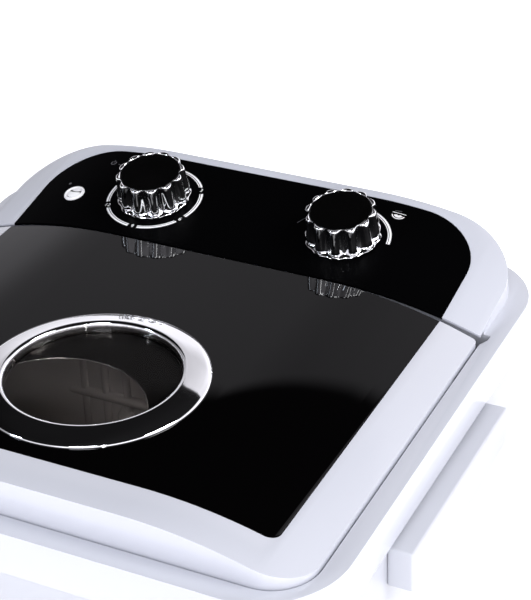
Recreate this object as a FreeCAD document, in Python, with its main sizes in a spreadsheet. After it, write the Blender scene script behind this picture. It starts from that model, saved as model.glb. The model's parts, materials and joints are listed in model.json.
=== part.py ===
import FreeCAD, Part
import math
import os
import re
import Sketcher

# Single-tub washing machine with a lift-up lid and two control knobs.
# All lengths are in millimetres and all angles in degrees.  X runs to the right, Y to the
# back and Z up.  The origin is on the floor, under the middle of the machine.

SIZES = {
    # Outside of the machine
    "body_width": 430, "body_depth": 415, "body_corner": 58,
    "shell_width": 422, "shell_depth": 407, "shell_corner": 54, "shell_wall": 2.5,
    "shell_bottom": 68, "shell_top": 650,
    "tray_width": 398, "tray_depth": 383, "tray_corner": 45, "tray_bottom": 8, "tray_top": 74,
    "foot_radius": 18, "foot_spread_x": 150, "foot_spread_y": 140,
    "collar_bottom": 644, "collar_top": 675, "deck_level": 652, "deck_back": 60, "skin": 3,
    "grip_length": 170, "grip_reach": 17, "grip_height": 30, "grip_top": 640, "grip_middle": -4,
    # Top surface: flat in the middle, falling away to both sides
    "lid_level": 700, "crown_break": 142, "crown_slope": 20.6, "crown_radius": 320,
    # Lid
    "lid_width": 400, "lid_front": -191, "lid_corner": 30, "lid_edge": 672, "lid_skin": 5.2,
    "lid_margin": 1.5, "seam_y": 96, "seam_gap": 2,
    "inset_width": 346, "inset_front": -163, "inset_thick": 2.4, "inset_play": 0.3,
    "ring_y": -74, "ring_radius": 77, "ring_bore": 58, "ring_rise": 7.5, "window_thick": 3,
    "hinge_y": 72, "hinge_z": 680, "pin_radius": 3, "pin_play": 0.08, "lug_radius": 5.5,
    "lug_inner_x": 148.5, "lug_width": 8, "post_inner_x": 138, "post_width": 9.5,
    # Sloping control panel behind the lid
    "panel_tilt": 10.4, "panel_width": 346, "panel_run": 96, "panel_corner": 47,
    "panel_thick": 2, "console_width": 400, "console_run": 103, "console_corner": 55,
    "console_deep": 50,
    "timer_x": -74, "mode_x": 80, "knob_run": 48, "knob_top_radius": 25.5, "knob_base_radius": 28,
    "knob_height": 23.3, "knob_lift": 0.6, "knob_lobes": 12, "cap_radius": 21,
    "spindle_radius": 3, "spindle_hole": 5,
    "inlet_x": -139, "inlet_run": 38, "inlet_flange": 8.2, "inlet_bore": 5.5,
    # Wash tub
    "tub_y": -64, "tub_width": 330, "tub_depth": 228, "tub_corner": 90, "tub_wall": 2.5,
    "tub_floor": 255, "tub_rib_reach": 4, "tub_rib_radius": 7,
    "pulsator_radius": 95, "pulsator_thick": 9, "pulsator_gap": 4, "vane_height": 16,
    # Drive under the tub
    "shaft_radius": 6, "bush_play": 0.05, "housing_radius": 20, "housing_bottom": 204,
    "pulley_radius": 70, "pulley_level": 178, "pulley_thick": 14,
    "motor_y": 112, "motor_radius": 50, "motor_height": 96, "motor_bottom": 210,
    "small_pulley_radius": 17.5, "belt_deep": 6,
    "plate_level": 206, "plate_thick": 4,
    # Draining
    "drain_x": 118, "valve_radius": 19, "valve_bottom": 196, "pipe_radius": 11, "pipe_wall": 2,
    "pipe_level": 44, "gland_x": -118, "gland_bore": 4,
    # Service opening in the back
    "cover_width": 280, "cover_height": 330, "cover_bottom": 150, "cover_thick": 2,
}

doc = FreeCAD.newDocument("mini_washer")
sheet = doc.addObject("Spreadsheet::Sheet", "Sizes")
for row, (alias, number) in enumerate(SIZES.items(), start=1):
    sheet.set(f"A{row}", alias)
    sheet.set(f"B{row}", str(number))
    sheet.setAlias(f"B{row}", alias)
doc.recompute()


def formula(rule):
    """Turn a rule such as 'body_width / 2' into one that names the sheet."""
    def prefixed(word):
        name = word.group(0)
        return f"Sizes.{name}" if name in SIZES else name
    return re.sub(r"[A-Za-z_]\w*", prefixed, str(rule))


def value(rule):
    """The present number behind a rule, taken from the sheet."""
    probe = sheet.evalExpression(formula(rule))
    return float(getattr(probe, "Value", probe))


# Half width of the flat middle of the crown: its slanted sides are blended by one radius.
crown_flat = value("crown_break - crown_radius * tan(crown_slope / 2)")


def place(item, x=0, y=0, z=0):
    for letter, rule in zip("xyz", (x, y, z)):
        item.setExpression(f"Placement.Base.{letter}", formula(rule))
    return item


def on_panel(item, x=0, run=0, rise=0):
    """Stand an item on the sloping panel: `run` up the slope from the seam, `rise` off it."""
    item.Placement = FreeCAD.Placement(
        FreeCAD.Vector(), FreeCAD.Rotation(FreeCAD.Vector(1, 0, 0), value("panel_tilt")))
    item.setExpression("Placement.Rotation.Angle", formula("panel_tilt"))
    across = f"seam_y + ({run}) * cos(panel_tilt) - ({rise}) * sin(panel_tilt)"
    up = f"lid_level + ({run}) * sin(panel_tilt) + ({rise}) * cos(panel_tilt)"
    return place(item, x, across, up)


def on_inlet(item, rise=0):
    """Stand an item over the water inlet, square to the falling side of the panel."""
    lean = math.degrees(math.asin((-value("inlet_x") - crown_flat) / value("crown_radius")))
    drop = value("crown_radius") * (1 - math.cos(math.radians(lean)))
    tilted = FreeCAD.Placement(
        FreeCAD.Vector(0, value("seam_y"), value("lid_level")),
        FreeCAD.Rotation(FreeCAD.Vector(1, 0, 0), value("panel_tilt")))
    spot = FreeCAD.Vector(value("inlet_x"), value("inlet_run"), -drop)
    leaning = FreeCAD.Placement(spot, FreeCAD.Rotation(FreeCAD.Vector(0, 1, 0), -lean))
    raised = FreeCAD.Placement(FreeCAD.Vector(0, 0, rise), FreeCAD.Rotation())
    for path, rule in list(item.ExpressionEngine):
        if "Placement" in path:
            item.setExpression(path.lstrip("."), None)
    item.Placement = tilted.multiply(leaning).multiply(raised)
    return item


def box(name, size, start):
    item = doc.addObject("Part::Box", name)
    for side, rule in zip(("Length", "Width", "Height"), size):
        item.setExpression(side, formula(rule))
    return place(item, *start)


def rod(name, radius, length, start, along="z"):
    """Round bar running from `start` along one of the three axes."""
    item = doc.addObject("Part::Cylinder", name)
    item.setExpression("Radius", formula(radius))
    item.setExpression("Height", formula(length))
    turn = {"z": FreeCAD.Rotation(),
            "x": FreeCAD.Rotation(FreeCAD.Vector(0, 1, 0), 90),
            "y": FreeCAD.Rotation(FreeCAD.Vector(1, 0, 0), -90)}[along]
    item.Placement = FreeCAD.Placement(FreeCAD.Vector(), turn)
    return place(item, *start)


def new_sketch(body, name, role):
    sketch = body.newObject("Sketcher::SketchObject", name)
    plane = next(item for item in body.Origin.OriginFeatures if item.Role == role)
    sketch.AttachmentSupport = [(plane, "")]
    sketch.MapMode = "FlatFace"
    return sketch


def outline(sketch, points):
    """Closed run of straight lines; every corner is held at its own pair of rules."""
    corners = [FreeCAD.Vector(value(across), value(up)) for across, up in points]
    count = len(corners)
    for number in range(count):
        sketch.addGeometry(Part.LineSegment(corners[number], corners[(number + 1) % count]))
    for number in range(count):
        sketch.addConstraint(
            Sketcher.Constraint("Coincident", number, 2, (number + 1) % count, 1))
    for number, rules in enumerate(points):
        for kind, rule in zip(("DistanceX", "DistanceY"), rules):
            held = sketch.addConstraint(
                Sketcher.Constraint(kind, -1, 1, number, 1, value(rule)))
            sketch.setExpression(f"Constraints[{held}]", formula(rule))


def pad(body, sketch, length):
    feature = body.newObject("PartDesign::Pad", f"{body.Name}_pad")
    feature.Profile = sketch
    feature.setExpression("Length", formula(length))
    body.Tip = feature
    doc.recompute()
    return feature


def round_edges(body, radius, chosen):
    """Fillet the edges of a body that `chosen` picks by their end points."""
    names = [f"Edge{number}" for number, edge in enumerate(body.Tip.Shape.Edges, start=1)
             if chosen([vertex.Point for vertex in edge.Vertexes])]
    base = body.Tip
    feature = body.newObject("PartDesign::Fillet", f"{body.Name}_round")
    feature.Base = (base, names)
    feature.setExpression("Radius", formula(radius))
    body.Tip = feature
    doc.recompute()


def near(first, second):
    return abs(first - second) < 0.01


def prism(name, size, start, front=None, rear=None):
    """Upright block centred on X with its front face at start[1] and rounded corners."""
    width, depth, height = size
    body = doc.addObject("PartDesign::Body", name)
    sketch = new_sketch(body, f"{name}_plan", "XY_Plane")
    left, right = f"-({width}) / 2", f"({width}) / 2"
    outline(sketch, [(left, 0), (right, 0), (right, depth), (left, depth)])
    pad(body, sketch, height)
    for level, radius in ((0, front), (value(depth), rear)):
        if radius is not None:
            round_edges(body, radius, lambda ends: len(ends) == 2 and all(
                near(end.y, level) for end in ends) and near(ends[0].x, ends[1].x))
    return place(body, *start)


def panel_prism(name, width, first_run, last_run, low, high, rear):
    """Like prism, but square to the sloping panel."""
    body = prism(name, (width, f"({last_run}) - ({first_run})", f"({high}) - ({low})"),
                 (0, 0, 0), None, rear)
    return on_panel(body, 0, first_run, low)


def crown(name, drop, deep, first, last, sloping=False):
    """Block whose top follows the crowned top surface, lowered by `drop`."""
    body = doc.addObject("PartDesign::Body", name)
    sketch = new_sketch(body, f"{name}_section", "XZ_Plane")
    edge = f"-(body_width / 2 - crown_break) * tan(crown_slope) - ({drop})"
    top, bottom = f"-({drop})", f"-({drop}) - ({deep})"
    outline(sketch, [("-body_width / 2", bottom), ("body_width / 2", bottom),
                     ("body_width / 2", edge), ("crown_break", top),
                     ("-crown_break", top), ("-body_width / 2", edge)])
    feature = pad(body, sketch, f"({last}) - ({first})")
    feature.Reversed = True
    doc.recompute()
    half = value("crown_break")
    round_edges(body, "crown_radius", lambda ends: len(ends) == 2 and all(
        near(abs(end.x), half) and near(end.z, value(top)) for end in ends)
        and near(ends[0].x, ends[1].x))
    if sloping:
        return on_panel(body, 0, first, 0)
    return place(body, 0, f"({first})", "lid_level")


def lathe(name, points, start=(0, 0, 0)):
    """Body turned about its own upright axis from (radius, height) corners."""
    body = doc.addObject("PartDesign::Body", name)
    sketch = new_sketch(body, f"{name}_section", "XZ_Plane")
    outline(sketch, points)
    feature = body.newObject("PartDesign::Revolution", f"{name}_turn")
    feature.Profile = sketch
    feature.ReferenceAxis = (sketch, ["V_Axis"])
    feature.Angle = 360
    body.Tip = feature
    doc.recompute()
    return place(body, *start)


def join(name, *items):
    result = doc.addObject("Part::MultiFuse", name)
    result.Shapes = list(items)
    result.Refine = True
    return result


def cut(name, base, *tools):
    result = doc.addObject("Part::Cut", name)
    result.Base = base
    result.Tool = tools[0] if len(tools) == 1 else join(f"{name}_tools", *tools)
    result.Refine = True
    return result


def shared(name, first, second):
    result = doc.addObject("Part::Common", name)
    result.Base = first
    result.Tool = second
    result.Refine = True
    return result


def group(name, *items):
    """Several like solids kept together as one node."""
    result = doc.addObject("Part::Compound", name)
    result.Links = list(items)
    return result


def freed(item, *letters):
    """Let the rules place an item, then let go of some of them so that it can be moved."""
    doc.recompute()
    for letter in letters:
        item.setExpression(f"Placement.Base.{letter}", None)
    return item


def turned(item, count, number, middle):
    """Swing an item about the upright line through `middle` to its place in a ring."""
    swing = FreeCAD.Rotation(FreeCAD.Vector(0, 0, 1), 360.0 * number / count)
    item.Placement = FreeCAD.Placement(
        middle - swing.multVec(middle), swing).multiply(item.Placement)
    return item


nodes = {}


def node(name, item):
    item.Label = name
    nodes[name] = item


def centred(name, width, depth, low, high, corner):
    return prism(name, (width, depth, f"({high}) - ({low})"), (0, f"-({depth}) / 2", low),
                 corner, corner)


# Cabinet: an open shell of four walls with a service opening in the back.
cabinet_outer = centred("cabinet_outer", "shell_width", "shell_depth", "shell_bottom",
                        "shell_top", "shell_corner")
cabinet_inner = centred("cabinet_inner", "shell_width - 2 * shell_wall",
                        "shell_depth - 2 * shell_wall", "shell_bottom - 1", "shell_top + 1",
                        "shell_corner - shell_wall")
service_opening = box("service_opening", ("cover_width - 24", 20, "cover_height - 24"),
                      ("-cover_width / 2 + 12", "shell_depth / 2 - 10", "cover_bottom + 12"))
node("cabinet", cut("cabinet_cut", cabinet_outer, cabinet_inner, service_opening))

# Base tray with motor posts, closing the cabinet from below.
tray_outer = centred("tray_outer", "tray_width", "tray_depth", "tray_bottom", "tray_top",
                     "tray_corner")
tray_inner = centred("tray_inner", "tray_width - 2 * skin", "tray_depth - 2 * skin",
                     "tray_bottom + skin", "tray_top + 1", "tray_corner - skin")
tray_shelf = centred("tray_shelf", "shell_width - 2 * shell_wall - 0.6",
                     "shell_depth - 2 * shell_wall - 0.6", "tray_top - 4", "tray_top",
                     "shell_corner - shell_wall - 0.3")
shelf_hole = centred("shelf_hole", "tray_width - 2 * skin", "tray_depth - 2 * skin",
                     "tray_top - 5", "tray_top + 1", "tray_corner - skin")
drain_hole = rod("drain_hole", "pipe_radius + 0.3", 20,
                 ("drain_x", "tray_depth / 2 - 10", "pipe_level"), "y")
gland_hole = rod("gland_hole", "gland_bore + 4.3", 20,
                 ("gland_x", "tray_depth / 2 - 10", "pipe_level"), "y")
motor_posts = [rod(f"motor_post_{number}", 9, "plate_level - tray_bottom - 1",
                   (f"{side} * 74", f"motor_y + {reach}", "tray_bottom + 1"))
               for number, (side, reach) in enumerate(((-1, -30), (1, -30), (-1, 40), (1, 40)))]
node("base_tray", join("tray_join",
                       cut("tray_cut", tray_outer, tray_inner, drain_hole, gland_hole),
                       cut("tray_ledge", tray_shelf, shelf_hole), *motor_posts))

# Four rubber feet.
node("feet", group("feet_group", *[
    lathe(f"foot_{number}", [(0, 0), ("foot_radius - 3", 0), ("foot_radius", 3),
                             ("foot_radius", "tray_bottom"), (0, "tray_bottom")],
          (f"{side_x} * foot_spread_x", f"{side_y} * foot_spread_y", 0))
    for number, (side_x, side_y) in enumerate(((-1, -1), (1, -1), (1, 1), (-1, 1)))]))

# Service cover on the back with a field of vent slots and its screws.
cover_plate = box("cover_plate", ("cover_width", "cover_thick", "cover_height"),
                  ("-cover_width / 2", "shell_depth / 2", "cover_bottom"))
vent_slots = [box(f"vent_slot_{number}", (120, 10, 5),
                  (-60, "shell_depth / 2 - 5", f"cover_bottom + 40 + {number} * 13"))
              for number in range(8)]
screw_spots = [(side, level) for side in (-1, 1) for level in (8, 165, 322)]
screw_holes = [rod(f"cover_hole_{number}", 2.2, 12,
                   (f"{side} * (cover_width / 2 - 7)", "shell_depth / 2 - 6",
                    f"cover_bottom + {level}"), "y")
               for number, (side, level) in enumerate(screw_spots)]
node("rear_cover", cut("cover_cut", cover_plate, *vent_slots, *screw_holes))


def cover_screw(number, side, level):
    spot = (f"{side} * (cover_width / 2 - 7)", f"cover_bottom + {level}")
    head = rod(f"cover_head_{number}", 3.8, 1.8,
               (spot[0], "shell_depth / 2 + cover_thick", spot[1]), "y")
    shank = rod(f"cover_shank_{number}", 2, "cover_thick",
                (spot[0], "shell_depth / 2 + 0.05", spot[1]), "y")
    return join(f"cover_screw_{number}", head, shank)


node("cover_screws", group("cover_screw_group", *[
    cover_screw(number, side, level) for number, (side, level) in enumerate(screw_spots)]))


def side_grip(name, side):
    """Hollow hand hold, open below, standing out from one side of the cabinet."""
    outer = box(f"{name}_outer", ("grip_reach", "grip_length", "grip_height"),
                ("shell_width / 2" if side > 0 else "-shell_width / 2 - grip_reach",
                 "grip_middle - grip_length / 2", "grip_top - grip_height"))
    hollow = box(f"{name}_hollow", ("grip_reach - skin", "grip_length - 2 * skin",
                                    "grip_height - skin + 1"),
                 ("shell_width / 2" if side > 0 else "-shell_width / 2 - grip_reach + skin",
                  "grip_middle - grip_length / 2 + skin", "grip_top - grip_height - 1"))
    return cut(f"{name}_cut", outer, hollow)


node("side_grips", group("side_grip_group", side_grip("left_grip", -1),
                         side_grip("right_grip", 1)))

# Top frame: collar round the lid, ledge for the hinge posts, and the sloping console.
collar_outer = centred("collar_outer", "body_width", "body_depth", "collar_bottom", "collar_top",
                       "body_corner")
collar_under = centred("collar_under", "shell_width + 0.6", "shell_depth + 0.6",
                       "collar_bottom - 1", "shell_top", "shell_corner + 0.3")
lid_seat = prism("lid_seat",
                 ("lid_width + 2 * lid_margin", "seam_y + 1 - lid_front + lid_margin", 30),
                 (0, "lid_front - lid_margin", "lid_edge - 0.5"), "lid_corner + lid_margin", None)
deck_well = prism("deck_well", ("lid_width - 20", "seam_y - 2 - lid_front", 40),
                  (0, "lid_front + 10", "deck_level"), "lid_corner", None)
rim_hollow_parts = [
    box("rim_hollow_left", (7, 280, "collar_top - skin - shell_top"),
        ("-body_width / 2 + skin + 1", -140, "shell_top - 1")),
    box("rim_hollow_right", (7, 280, "collar_top - skin - shell_top"),
        ("body_width / 2 - skin - 8", -140, "shell_top - 1"))]
# The lid's tail swings down behind the hinge, so the ledge stops short of it.
hinge_bay = box("hinge_bay", ("lid_width + 2 * lid_margin", "seam_y + 28 - hinge_y", 40),
                ("-lid_width / 2 - lid_margin", "hinge_y - 20", "deck_level"))
deck_gap = prism("deck_gap", ("lid_width - 20", "deck_back + 0.3 - lid_front - 10", 20),
                 (0, "lid_front + 10", "shell_top - 5"), "lid_corner", None)
console_plan = panel_prism("console_plan", "console_width", "seam_gap / 2", "console_run",
                           "-console_deep", 10, "console_corner")
console_block = shared("console_block", console_plan,
                       crown("console_crown", 0, "console_deep + 20", 0, "console_run + 5", True))
panel_seat = shared("panel_seat",
                    panel_prism("panel_seat_plan", "panel_width", 0, "panel_run", -30, 10,
                                "panel_corner"),
                    cut("panel_seat_layer",
                        crown("seat_top", -5, 40, -1, "console_run + 5", True),
                        crown("seat_floor", "panel_thick + 0.2", 60, -2, "console_run + 6", True)))
console_cavity = shared("console_cavity",
                        panel_prism("cavity_plan", "console_width - 2 * skin", 11,
                                    "console_run - skin", "-console_deep - 20", 10,
                                    "console_corner - skin"),
                        crown("cavity_crown", "panel_thick + skin", "console_deep + 40", 0,
                              "console_run + 5", True))
lip_relief = shared("lip_relief",
                    panel_prism("relief_plan", "console_width + 10", -5, 8,
                                "-console_deep - 20", 10, None),
                    crown("relief_crown", "panel_thick + 0.1", "console_deep + 40", -6, 10, True))
timer_hole = on_panel(rod("timer_hole", "spindle_hole", 30, (0, 0, 0)), "timer_x", "knob_run", -20)
mode_hole = on_panel(rod("mode_hole", "spindle_hole", 30, (0, 0, 0)), "mode_x", "knob_run", -20)
inlet_hole = on_inlet(rod("inlet_hole", "inlet_bore + 1.8", 30, (0, 0, 0)), -20)

# The inlet duct drops from the funnel, turns at an elbow and runs forward to the deck.
duct_turn = on_inlet(doc.addObject("Part::Sphere", "duct_turn"), -36)
duct_turn.setExpression("Radius", formula("inlet_bore + 3"))
elbow_spot = duct_turn.Placement.Base


def duct_run(name, radius, start_y, length):
    """Level stretch of the duct, in line with its elbow."""
    bar = freed(rod(name, radius, length, (0, start_y, 0), "y"), "x", "z")
    bar.Placement.Base = FreeCAD.Vector(elbow_spot.x, bar.Placement.Base.y, elbow_spot.z)
    return bar


duct_hole = duct_run("duct_hole", "inlet_bore + 3.3", "seam_y - 4", 60)


def hinge_post(name, side):
    """Post of the top frame with the running hole for one hinge pin."""
    low_x = "post_inner_x" if side > 0 else "-post_inner_x - post_width"
    leg = box(f"{name}_leg", ("post_width", "2 * lug_radius", "hinge_z - deck_level + 1"),
              (low_x, "hinge_y - lug_radius", "deck_level - 1"))
    eye = rod(f"{name}_eye", "lug_radius", "post_width", (low_x, "hinge_y", "hinge_z"), "x")
    hole = rod(f"{name}_hole", "pin_radius + pin_play", "post_width + 4",
               (f"{low_x} - 2", "hinge_y", "hinge_z"), "x")
    return cut(f"{name}_cut", join(f"{name}_join", leg, eye), hole)


collar = cut("collar_cut", collar_outer, collar_under, lid_seat, deck_well, hinge_bay,
             deck_gap, *rim_hollow_parts)
frame_body = join("frame_join", collar, console_block)
node("top_frame", join("frame_posts",
                       cut("frame_cut", frame_body, panel_seat, console_cavity, lip_relief,
                           timer_hole, mode_hole, inlet_hole, duct_hole),
                       hinge_post("left_post", -1), hinge_post("right_post", 1)))

# Deck: the plate round the tub's mouth, lying on the tub's flange inside the collar.
deck_plate = prism("deck_plate", ("lid_width - 20.6", "deck_back - lid_front - 10.3",
                                  "deck_level - shell_top"),
                   (0, "lid_front + 10.3", "shell_top"), "lid_corner - 0.3", None)
tub_opening = prism("tub_opening", ("tub_width", "tub_depth", 40),
                    (0, "tub_y - tub_depth / 2", "deck_level - 20"), "tub_corner", "tub_corner")
node("tub_deck", cut("deck_cut", deck_plate, tub_opening))

# Control panel: the black sheet set into the console.
fascia_layer = cut("fascia_layer", crown("fascia_top", 0.2, 40, 0, "console_run", True),
                   crown("fascia_floor", "panel_thick + 0.15", 60, -1, "console_run + 1", True))
fascia_plan = panel_prism("fascia_plan", "panel_width - 2 * inset_play", "seam_gap / 2 + 0.2",
                          "panel_run - inset_play", -30, 10, "panel_corner - inset_play")
fascia_tools = [on_panel(rod(f"fascia_{name}_hole", "spindle_hole", 30, (0, 0, 0)), x,
                         "knob_run", -20)
                for name, x in (("timer", "timer_x"), ("mode", "mode_x"))]
fascia_tools.append(on_inlet(rod("fascia_inlet_hole", "inlet_bore + 1.8", 30, (0, 0, 0)), -15))
node("control_panel", cut("fascia_cut", shared("fascia_sheet", fascia_layer, fascia_plan),
                          *fascia_tools))


def knob(name, x):
    """Scalloped sleeve, flat cap, and the spindle that the sleeve turns."""
    sleeve = lathe(f"{name}_sleeve", [
        ("spindle_radius", 0), ("knob_base_radius", 0), ("knob_base_radius", 1.6),
        ("knob_top_radius + 0.6", 4), ("knob_top_radius", "knob_height - 2"),
        ("knob_top_radius - 2", "knob_height"), ("cap_radius + 0.2", "knob_height"),
        ("cap_radius + 0.2", "knob_height - 3"), ("spindle_radius", "knob_height - 3")])
    lobes = int(value("knob_lobes"))
    flutes = []
    for number in range(lobes):
        flute = freed(rod(f"{name}_flute_{number}", 4.2, "knob_height",
                          ("knob_top_radius + 2.6", 0, 3)), "x", "y")
        flutes.append(turned(flute, lobes, number + 0.5, FreeCAD.Vector()))
    body = cut(f"{name}_body", sleeve, *flutes)
    node(f"{name}_knob", on_panel(body, x, "knob_run", "knob_lift"))
    disc = lathe(f"{name}_disc", [(0, 0), ("cap_radius", 0), ("cap_radius", 1.8),
                                  ("cap_radius - 0.8", 2.2), (0, 2.2)])
    node(f"{name}_knob_cap", on_panel(disc, x, "knob_run", "knob_lift + knob_height - 3"))
    spindle = rod(f"{name}_rod", "spindle_radius", "knob_height - 3 + knob_lift + 14", (0, 0, 0))
    node(f"{name}_spindle", on_panel(spindle, x, "knob_run", -14))


knob("timer", "timer_x")
knob("mode", "mode_x")


def control_unit(name, x, width, run, deep):
    """Timer or selector: a box hung under the console with a neck round the spindle."""
    shell = on_panel(box(f"{name}_shell", (width, run, deep), (0, 0, 0)),
                     f"{x} - {width} / 2", f"knob_run - {run} / 2", f"-12 - {deep}")
    neck = on_panel(rod(f"{name}_neck", "spindle_hole + 3", 7, (0, 0, 0)), x, "knob_run", -12.5)
    bore = on_panel(rod(f"{name}_bore", "spindle_radius + bush_play", 30, (0, 0, 0)), x,
                    "knob_run", -15)
    node(name, cut(f"{name}_cut", join(f"{name}_join", shell, neck), bore))


control_unit("timer_unit", "timer_x", 62, 48, 22)
control_unit("mode_switch", "mode_x", 44, 40, 20)

# Water inlet: flanged funnel through the panel and the duct that carries water to the deck.
funnel = lathe("funnel", [
    ("inlet_bore", -18), ("inlet_bore + 1.5", -18), ("inlet_bore + 1.5", 0.1),
    ("inlet_flange", 0.1), ("inlet_flange", 1.2), ("inlet_flange - 1", 2.2),
    ("inlet_bore + 0.8", 2.2), ("inlet_bore", 1.2)])
node("inlet_funnel", on_inlet(funnel))

duct_end = value("seam_y + 11")
duct_length = elbow_spot.y - duct_end
duct_drop = on_inlet(rod("duct_drop", "inlet_bore + 3", 17, (0, 0, 0)), -36)
duct_drop_bore = on_inlet(rod("duct_drop_bore", "inlet_bore + 1", 30, (0, 0, 0)), -36)
duct_turn_bore = on_inlet(doc.addObject("Part::Sphere", "duct_turn_bore"), -36)
duct_turn_bore.setExpression("Radius", formula("inlet_bore + 1"))
duct_tube = duct_run("duct_tube", "inlet_bore + 3", duct_end, duct_length)
duct_tube_bore = duct_run("duct_tube_bore", "inlet_bore + 1", duct_end - 10, duct_length + 10)
node("inlet_duct", cut("duct_cut", join("duct_join", duct_drop, duct_turn, duct_tube),
                       duct_drop_bore, duct_turn_bore, duct_tube_bore))

# Lid: white frame, black inset, chrome ring and smoked window.
lid_plan = prism("lid_plan", ("lid_width", "seam_y - seam_gap / 2 - lid_front", 40),
                 (0, "lid_front", "lid_edge"), "lid_corner", 3)
lid_block = shared("lid_block", lid_plan, crown("lid_crown", 0, 60, "lid_front - 5", "seam_y + 5"))
lid_inside = shared("lid_inside",
                    prism("lid_inside_plan",
                          ("lid_width - 2 * skin",
                           "seam_y - seam_gap / 2 - lid_front - 2 * skin", 60),
                          (0, "lid_front + skin", "lid_edge - 10"), "lid_corner - skin", 3),
                    crown("lid_inside_crown", "lid_skin", 60, "lid_front - 5", "seam_y + 5"))
# Between its corners the lid has no back skirt, so that it can swing past the hinge posts.
tail_opening = shared("tail_opening",
                      box("tail_opening_block", (350, 30, 60),
                          (-175, "seam_y - 20", "lid_edge - 10")),
                      crown("tail_opening_crown", "lid_skin", 60, "lid_front - 5", "seam_y + 15"))
inset_seat = shared("inset_seat",
                    prism("inset_seat_plan", ("inset_width", "seam_y + 10 - inset_front", 60),
                          (0, "inset_front", "lid_level - 40"), 8, None),
                    cut("inset_seat_layer",
                        crown("inset_seat_top", -5, 40, "lid_front - 5", "seam_y + 12"),
                        crown("inset_seat_floor", "inset_thick + 0.2", 60, "lid_front - 6",
                              "seam_y + 13")))
light_opening = prism("light_opening", (260, 190, 80), (0, "inset_front + 23", "lid_level - 60"),
                      12, 12)


def hinge_lug(name, side):
    """Lug under the lid that grips one hinge pin, and the hole to cut through it."""
    low_x = "lug_inner_x" if side > 0 else "-lug_inner_x - lug_width"
    web = box(f"{name}_web", ("lug_width", "2 * lug_radius", 8),
              (low_x, "hinge_y - lug_radius", "hinge_z"))
    eye = rod(f"{name}_eye", "lug_radius", "lug_width", (low_x, "hinge_y", "hinge_z"), "x")
    trimmed = shared(f"{name}_trim", join(f"{name}_join", web, eye),
                     crown(f"{name}_crown", "lid_skin - 1", 60, "hinge_y - 20", "hinge_y + 20"))
    hole = rod(f"{name}_hole", "pin_radius", "lug_width + 4",
               (f"{low_x} - 2", "hinge_y", "hinge_z"), "x")
    return trimmed, hole


left_lug, left_lug_hole = hinge_lug("left_lug", -1)
right_lug, right_lug_hole = hinge_lug("right_lug", 1)
node("lid_frame", cut("lid_frame_cut",
                      join("lid_frame_join",
                           cut("lid_shell", lid_block, lid_inside, tail_opening, inset_seat,
                               light_opening),
                           left_lug, right_lug),
                      left_lug_hole, right_lug_hole))

inset_layer = cut("inset_layer", crown("inset_top", 0.2, 40, "lid_front", "seam_y"),
                  crown("inset_floor", "inset_thick + 0.2", 60, "lid_front - 1", "seam_y + 1"))
inset_plan = prism("inset_plan", ("inset_width - 2 * inset_play",
                                  "seam_y - seam_gap / 2 - inset_front - 2 * inset_play", 60),
                   (0, "inset_front + inset_play", "lid_level - 40"), 8, None)
inset_hole = rod("inset_hole", "ring_bore + 3", 40, (0, "ring_y", "lid_level - 20"))
node("lid_panel", cut("inset_cut", shared("inset_sheet", inset_layer, inset_plan), inset_hole))

node("window_ring", lathe("ring_turn", [
    ("ring_bore", -4), ("ring_bore + 2.7", -4), ("ring_bore + 2.7", -0.1), ("ring_radius", -0.1),
    ("ring_radius - 0.6", 1.2), ("ring_bore + 5", "ring_rise - 0.8"),
    ("ring_bore + 3", "ring_rise"), ("ring_bore + 1.2", "ring_rise"),
    ("ring_bore", "ring_rise - 1.6")], (0, "ring_y", "lid_level")))
node("window", lathe("window_turn", [
    (0, -2.4), ("ring_bore - 0.1", -2.4), ("ring_bore - 0.1", "window_thick - 2.4"),
    (0, "window_thick - 2.4")], (0, "ring_y", "lid_level")))


def hinge_pin(name, side):
    low_x = "post_inner_x - 1" if side > 0 else "-lug_inner_x - lug_width - 1"
    return rod(name, "pin_radius", "lug_inner_x + lug_width - post_inner_x + 2",
               (low_x, "hinge_y", "hinge_z"), "x")


node("hinge_pins", group("pin_group", hinge_pin("left_pin", -1), hinge_pin("right_pin", 1)))


def tub_prism(name, grow, low, high):
    """Upright block with the tub's plan, grown by `grow` all round."""
    return prism(name, (f"tub_width + 2 * ({grow})", f"tub_depth + 2 * ({grow})",
                        f"({high}) - ({low})"), (0, f"tub_y - tub_depth / 2 - ({grow})", low),
                 f"tub_corner + {grow}", f"tub_corner + {grow}")


# Wash tub: deep box with big corners, a flange under the deck and wall ribs.
tub_outer = tub_prism("tub_outer", "tub_wall", "tub_floor - tub_wall", "shell_top")
tub_flange = tub_prism("tub_flange", 12, "shell_top - 3", "shell_top")
tub_inner = tub_prism("tub_inner", 0, "tub_floor", "shell_top + 10")
rib_places = ([(side * reach, edge) for edge in ("tub_y - tub_depth / 2", "tub_y + tub_depth / 2")
               for side in (-1, 1) for reach in (20, 56)]
              + [(f"{side} * tub_width / 2", f"tub_y + {reach}") for side in (-1, 1)
                 for reach in (-26, 26)])
tub_ribs = [lathe(f"tub_rib_{number}", [
    (0, 0), ("tub_rib_radius", 0), ("tub_rib_radius", 300), (0, 312)], (x, y, "tub_floor + 20"))
    for number, (x, y) in enumerate(rib_places)]
rib_fill = shared("rib_fill", join("rib_join", *tub_ribs),
                  tub_prism("rib_limit", "tub_wall / 2", "tub_floor", "shell_top"))
drive_hole = rod("drive_hole", 12, 20, (0, "tub_y", "tub_floor - 10"))
sump_hole = rod("sump_hole", 14, 20, ("drain_x", "tub_y", "tub_floor - 10"))
node("wash_tub", cut("tub_cut", join("tub_join",
                                     cut("tub_hollow", join("tub_walls", tub_outer, tub_flange),
                                         tub_inner), rib_fill),
                     drive_hole, sump_hole))

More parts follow.
